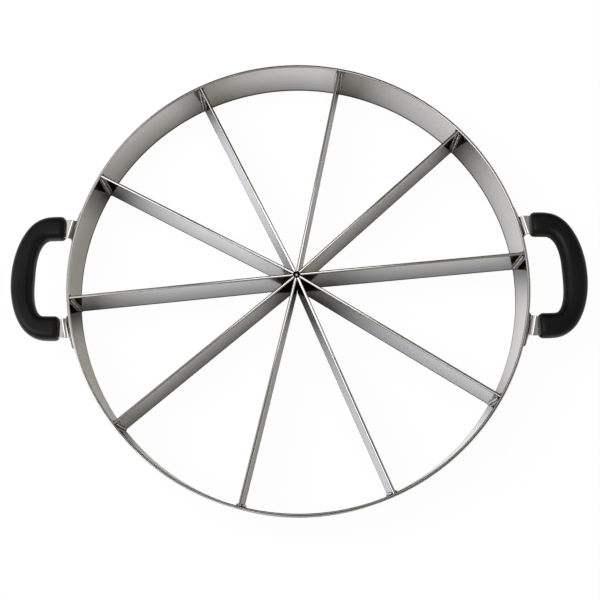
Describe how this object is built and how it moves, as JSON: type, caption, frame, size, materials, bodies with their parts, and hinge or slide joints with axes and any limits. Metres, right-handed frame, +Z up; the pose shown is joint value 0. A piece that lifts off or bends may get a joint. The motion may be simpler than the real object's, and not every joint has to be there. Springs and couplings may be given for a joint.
{
  "type": "cake portion marker",
  "caption": "Round steel hoop with thin radial blades that meet at a small hub, and a black grip on a bent strap at each side, pressed down to mark or cut a cake into wedges.",
  "frame": {"origin": "on the hoop's axis, in the plane of its lower edge", "axes": "+X through the middle of the right grip, +Y along the grips' length, +Z up out of the hoop"},
  "size_m": [0.3746, 0.3, 0.041],
  "materials": {
    "blade_steel": "satin rolled stainless steel, brushed along the strip",
    "strap_steel": "polished stainless steel",
    "weld_metal": "bare weld bead with a faint heat tint",
    "grip_black": "satin black moulding"
  },
  "bodies": {
    "root": {"hoop": "blade_steel", "blade_01": "blade_steel", "blade_02": "blade_steel", "blade_03": "blade_steel", "blade_04": "blade_steel", "blade_05": "blade_steel", "blade_06": "blade_steel", "blade_07": "blade_steel", "blade_08": "blade_steel", "blade_09": "blade_steel", "blade_10": "blade_steel", "weld_01_left": "weld_metal", "weld_01_right": "weld_metal", "weld_02_left": "weld_metal", "weld_02_right": "weld_metal", "weld_03_left": "weld_metal", "weld_03_right": "weld_metal", "weld_04_left": "weld_metal", "weld_04_right": "weld_metal", "weld_05_left": "weld_metal", "weld_05_right": "weld_metal", "weld_06_left": "weld_metal", "weld_06_right": "weld_metal", "weld_07_left": "weld_metal", "weld_07_right": "weld_metal", "weld_08_left": "weld_metal", "weld_08_right": "weld_metal", "weld_09_left": "weld_metal", "weld_09_right": "weld_metal", "weld_10_left": "weld_metal", "weld_10_right": "weld_metal", "hub_pin": "blade_steel", "handle_strap_right": "strap_steel", "handle_strap_left": "strap_steel", "grip_right": "grip_black", "grip_left": "grip_black"}
  },
  "joints": []
}
